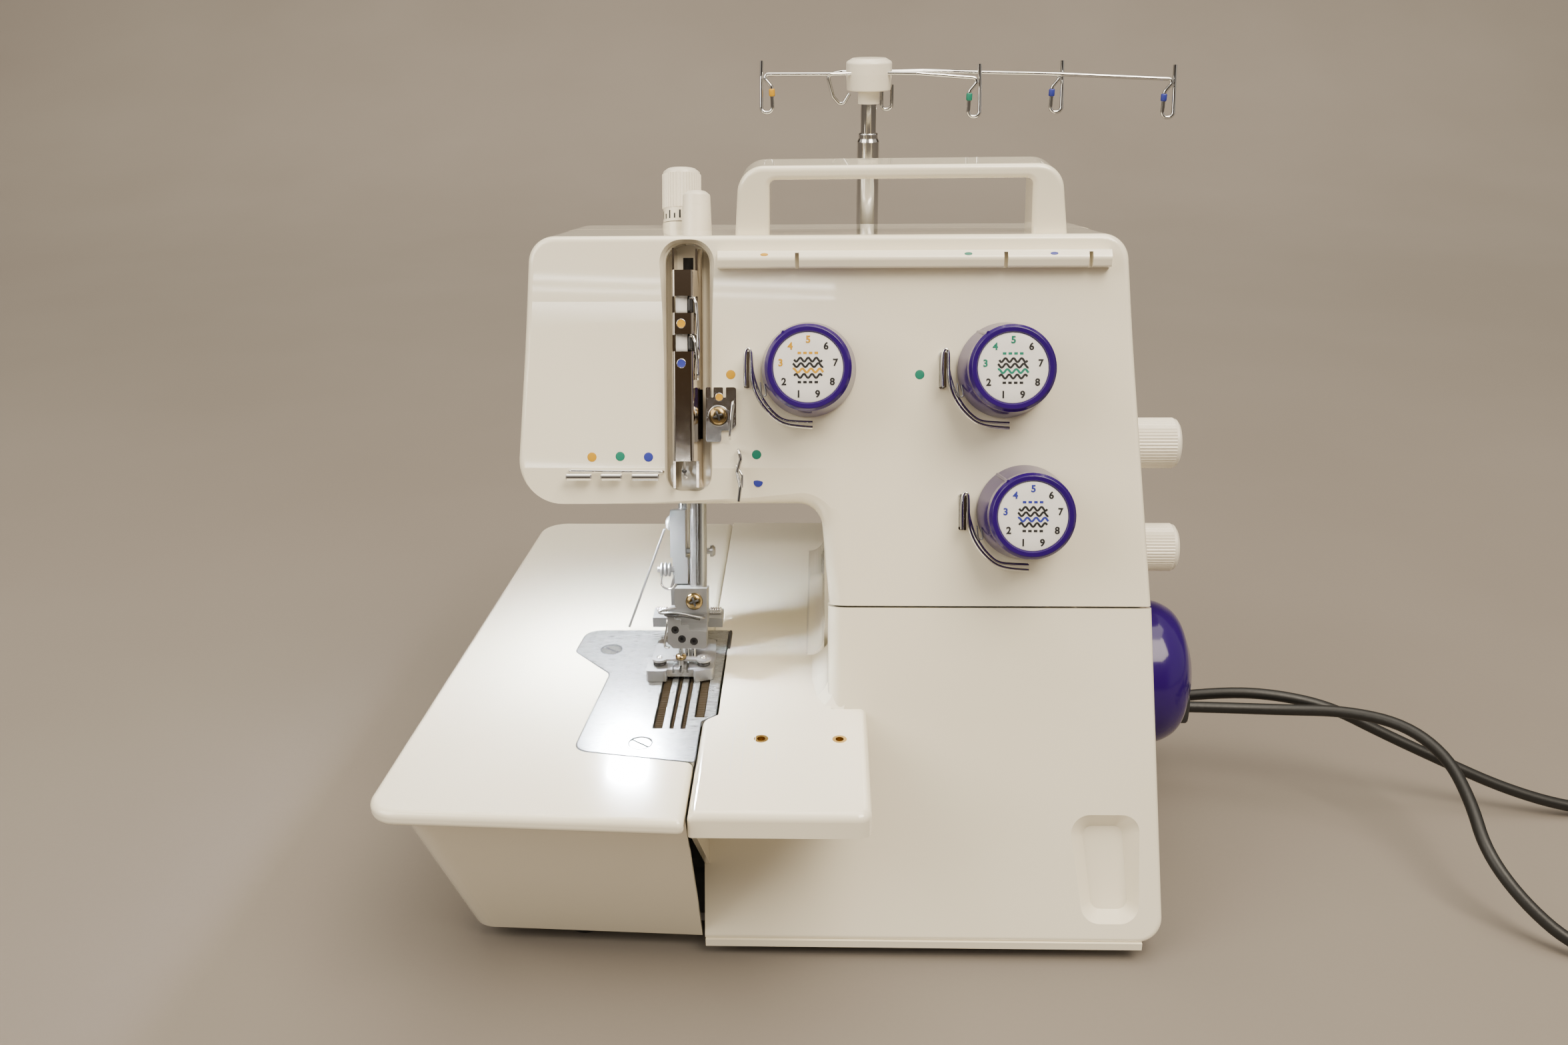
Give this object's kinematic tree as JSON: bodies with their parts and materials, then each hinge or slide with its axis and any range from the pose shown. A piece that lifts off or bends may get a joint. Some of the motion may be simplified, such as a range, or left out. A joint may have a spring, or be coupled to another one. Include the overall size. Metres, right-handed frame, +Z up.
{
  "type": "coverstitch sewing machine",
  "caption": "Coverstitch sewing machine with leaning head, needle clamp, presser foot, tension dials, carry handle, thread guide arm, sliding cloth table, handwheel and foot control.",
  "frame": {"origin": "middle of the machine's outline on the table top, without the leads and the foot control", "axes": "+X to the operator's right, towards the handwheel; +Y to the back, away from the operator; +Z up"},
  "size_m": [0.7325, 0.307, 0.35],
  "materials": {
    "white_shell": "glossy warm white moulded plastic",
    "white_knob": "satin off-white moulded plastic",
    "violet": "glossy deep blue-violet plastic",
    "plate_steel": "fine brushed steel",
    "chrome": "bright plated steel",
    "cast": "die-cast aluminium, as cast",
    "dark_steel": "ground tool steel",
    "brass": "turned brass",
    "black_rubber": "matt black rubber",
    "black_plastic": "satin black plastic",
    "pan_metal": "grey painted sheet steel",
    "lens": "frosted clear plastic",
    "cord": "black flexible cord jacket"
  },
  "bodies": {
    "machine": {"base_plate": "pan_metal", "rubber_feet": "black_rubber", "main_frame": "cast", "shaft_bearings": "brass", "front_panel": "white_shell", "rear_cover": "white_shell", "bed_cover": "white_shell", "needle_plate": "plate_steel", "needle_plate_screws": "chrome", "carry_handle": "white_shell", "top_thread_guide": "white_shell", "take_up_cover": "chrome", "arm_thread_guides": "chrome", "tension_posts": "dark_steel", "tension_thread_guides": "chrome", "needle_bar_cap": "white_knob", "presser_spring": "dark_steel", "motor": "pan_metal", "drive_belt": "black_rubber", "machine_socket": "black_plastic", "spool_stand": "white_shell", "spool_pins": "black_plastic", "stand_lower_tube": "chrome", "lamp_lens": "lens", "connector_plug": "black_plastic", "mains_cord": "cord", "mains_coil": "cord", "mains_plug": "black_plastic", "pedal_cord": "cord", "pedal_coil": "cord", "pedal_base": "black_plastic"},
    "dial_1": {"tension_dial_1": "violet"},
    "dial_2": {"tension_dial_2": "violet"},
    "dial_3": {"tension_dial_3": "violet"},
    "pressure_control": {"pressure_knob": "white_knob"},
    "stitch_control": {"stitch_knob": "white_knob"},
    "differential_control": {"differential_knob": "white_knob"},
    "drive_shaft": {"main_shaft": "dark_steel", "handwheel": "violet"},
    "motor_rotor": {"motor_pulley": "cast"},
    "needle_drive": {"needle_bar": "chrome", "needle_clamp": "chrome", "needle_screws": "chrome", "needles": "chrome"},
    "presser": {"presser_bar": "dark_steel", "presser_bracket": "chrome", "presser_foot": "chrome"},
    "lifter": {"presser_lifter": "black_plastic"},
    "looper_drive": {"looper": "dark_steel"},
    "feed_front": {"feed_dog_front": "dark_steel"},
    "feed_rear": {"feed_dog_rear": "dark_steel"},
    "table": {"cloth_table": "white_shell"},
    "cover_rod": {"cover_hinge_rod": "dark_steel"},
    "cover": {"front_cover": "white_shell", "threaded_inserts": "brass"},
    "rocker": {"power_switch": "black_plastic"},
    "mast": {"stand_upper_tube": "chrome"},
    "guide_arm": {"guide_hub": "white_knob", "guide_wires": "chrome"},
    "treadle": {"pedal_treadle": "black_plastic"}
  },
  "joints": [
    {"name": "dial_1_turn", "type": "hinge", "parent": "machine", "child": "dial_1", "pos_m": [-0.00546, -0.03481, 0.24081], "axis": [0, -0.9511, 0.309], "range_deg": [-148, 148]},
    {"name": "dial_2_turn", "type": "hinge", "parent": "machine", "child": "dial_2", "pos_m": [0.07404, -0.03493, 0.24043], "axis": [0, -0.9511, 0.309], "range_deg": [-148, 148]},
    {"name": "dial_3_turn", "type": "hinge", "parent": "machine", "child": "dial_3", "pos_m": [0.08244, -0.05276, 0.18555], "axis": [0, -0.9511, 0.309], "range_deg": [-148, 148]},
    {"name": "pressure_turn", "type": "hinge", "parent": "machine", "child": "pressure_control", "pos_m": [-0.06306, 0.0516, 0.28991], "axis": [0, 0.309, 0.9511], "range_deg": [-360, 360]},
    {"name": "stitch_turn", "type": "hinge", "parent": "machine", "child": "stitch_control", "pos_m": [0.14324, 0.01675, 0.1917], "axis": [1, 0, 0], "range_deg": [-150, 150]},
    {"name": "differential_turn", "type": "hinge", "parent": "machine", "child": "differential_control", "pos_m": [0.14324, 0.00505, 0.1461], "axis": [1, 0, 0], "range_deg": [-150, 150]},
    {"name": "handwheel_spin", "type": "hinge", "parent": "machine", "child": "drive_shaft", "pos_m": [0.06324, 0.00126, 0.085], "axis": [1, 0, 0], "continuous": true},
    {"name": "motor_spin", "type": "hinge", "parent": "machine", "child": "motor_rotor", "pos_m": [0.10324, 0.06026, 0.041], "axis": [1, 0, 0], "continuous": true},
    {"name": "needle_bar_slide", "type": "slide", "parent": "machine", "child": "needle_drive", "axis": [0, 0.309, 0.9511], "range_m": [0, 0.027]},
    {"name": "presser_slide", "type": "slide", "parent": "machine", "child": "presser", "axis": [0, 0.309, 0.9511], "range_m": [0, 0.005]},
    {"name": "lifter_hinge", "type": "hinge", "parent": "machine", "child": "lifter", "pos_m": [-0.11376, 0.05425, 0.215], "axis": [1, 0, 0], "range_deg": [0, 25]},
    {"name": "looper_swing", "type": "hinge", "parent": "machine", "child": "looper_drive", "pos_m": [-0.05876, -0.01574, 0.058], "axis": [0, 1, 0], "range_deg": [-24, 0]},
    {"name": "feed_front_slide", "type": "slide", "parent": "machine", "child": "feed_front", "axis": [0, 1, 0], "range_m": [0, 0.002]},
    {"name": "feed_rear_slide", "type": "slide", "parent": "machine", "child": "feed_rear", "axis": [0, 1, 0], "range_m": [0, 0.002]},
    {"name": "table_slide", "type": "slide", "parent": "machine", "child": "table", "axis": [-1, 0, 0], "range_m": [0, 0.06]},
    {"name": "cover_slide", "type": "slide", "parent": "machine", "child": "cover_rod", "axis": [1, 0, 0], "range_m": [0, 0.004]},
    {"name": "cover_hinge", "type": "hinge", "parent": "cover_rod", "child": "cover", "pos_m": [0.00324, -0.09125, 0.0155], "axis": [1, 0, 0], "range_deg": [0, 50]},
    {"name": "switch_rock", "type": "hinge", "parent": "machine", "child": "rocker", "pos_m": [0.13724, 0.07726, 0.046], "axis": [0, 1, 0], "range_deg": [-8, 8]},
    {"name": "mast_slide", "type": "slide", "parent": "machine", "child": "mast", "axis": [0, 0, 1], "range_m": [0, 0.12]},
    {"name": "guide_arm_swivel", "type": "hinge", "parent": "mast", "child": "guide_arm", "pos_m": [0.02184, 0.11625, 0.34], "axis": [0, 0, 1], "range_deg": [-90, 90]},
    {"name": "treadle_press", "type": "hinge", "parent": "machine", "child": "treadle", "pos_m": [0.51724, -0.02374, 0.0382], "axis": [1, 0, 0], "range_deg": [0, 4.5], "stiffness_Nm_per_rad": 8, "springref_deg": -1.72}
  ],
  "couplings": [
    {"joint": "motor_spin", "follows": "handwheel_spin", "ratio": 2.6125},
    {"joint": "presser_slide", "follows": "lifter_hinge", "m_per_rad": 0.01123},
    {"joint": "looper_swing", "follows": "needle_bar_slide", "rad_per_m": -15.449},
    {"joint": "feed_front_slide", "follows": "needle_bar_slide", "ratio": 0.074},
    {"joint": "feed_rear_slide", "follows": "needle_bar_slide", "ratio": 0.074}
  ]
}
